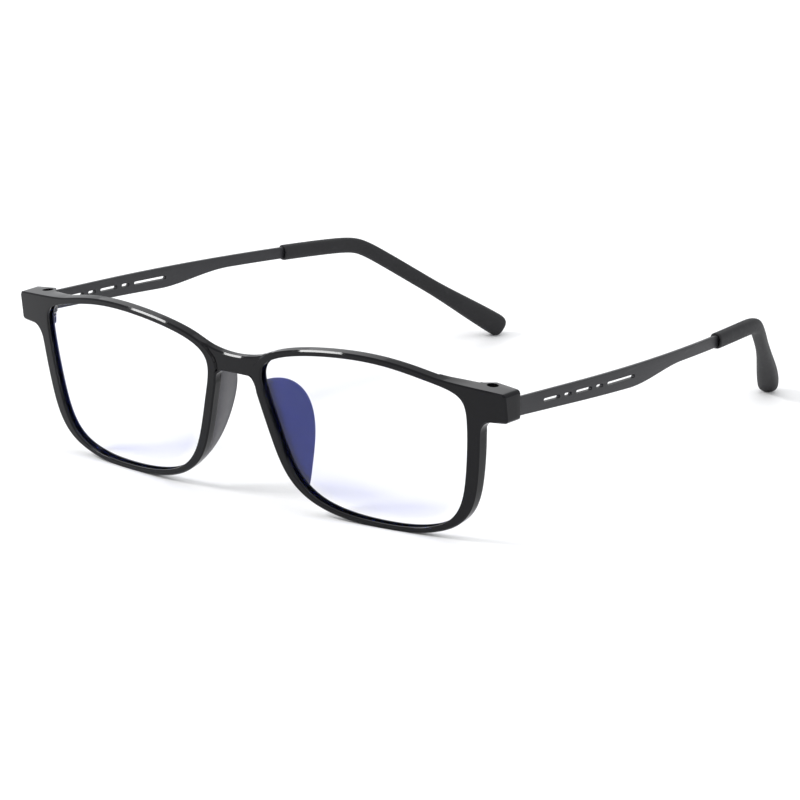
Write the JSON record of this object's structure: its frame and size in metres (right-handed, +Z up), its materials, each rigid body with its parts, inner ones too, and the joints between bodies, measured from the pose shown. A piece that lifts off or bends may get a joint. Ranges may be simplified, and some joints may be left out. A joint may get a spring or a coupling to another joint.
{
  "type": "folding spectacles",
  "caption": "Folding spectacles with a glossy curved front, clear blue-filter lenses, nose pads and slotted metal temples with soft bent tips.",
  "frame": {"origin": "centre of the footprint, on the surface that the open spectacles stand on", "axes": "+Z up, +Y from the front towards the tips, +X to the wearer's left"},
  "size_m": [0.14, 0.1497, 0.0406],
  "materials": {
    "front_gloss": "gloss black moulded plastic",
    "lens_glass": "clear with a blue anti-reflection coat",
    "pad_satin": "satin",
    "temple_metal": "satin black coat",
    "tip_rubber": "matt",
    "hinge_brass": "turned",
    "hinge_steel": "turned",
    "washer_nylon": "natural nylon"
  },
  "bodies": {
    "front": {"front_frame": "front_gloss", "lens_left": "lens_glass", "lens_right": "lens_glass", "nose_pad_left": "pad_satin", "nose_pad_right": "pad_satin", "hinge_bush_left": "hinge_brass", "hinge_bush_right": "hinge_brass", "hinge_insert_left": "hinge_brass", "hinge_insert_right": "hinge_brass", "hinge_screw_left": "hinge_steel", "hinge_screw_right": "hinge_steel", "hinge_washer_upper_left": "washer_nylon", "hinge_washer_upper_right": "washer_nylon", "hinge_washer_lower_left": "washer_nylon", "hinge_washer_lower_right": "washer_nylon"},
    "left_temple": {"hinge_eye_left": "temple_metal", "temple_blade_left": "temple_metal", "temple_tip_left": "tip_rubber"},
    "right_temple": {"hinge_eye_right": "temple_metal", "temple_blade_right": "temple_metal", "temple_tip_right": "tip_rubber"}
  },
  "joints": [
    {"name": "left_temple_fold", "type": "hinge", "parent": "front", "child": "left_temple", "pos_m": [0.0642, -0.06275, 0.0325], "axis": [0, 0, 1], "range_deg": [0, 79.5]},
    {"name": "right_temple_fold", "type": "hinge", "parent": "front", "child": "right_temple", "pos_m": [-0.0642, -0.06275, 0.0325], "axis": [0, 0, -1], "range_deg": [0, 67]}
  ]
}
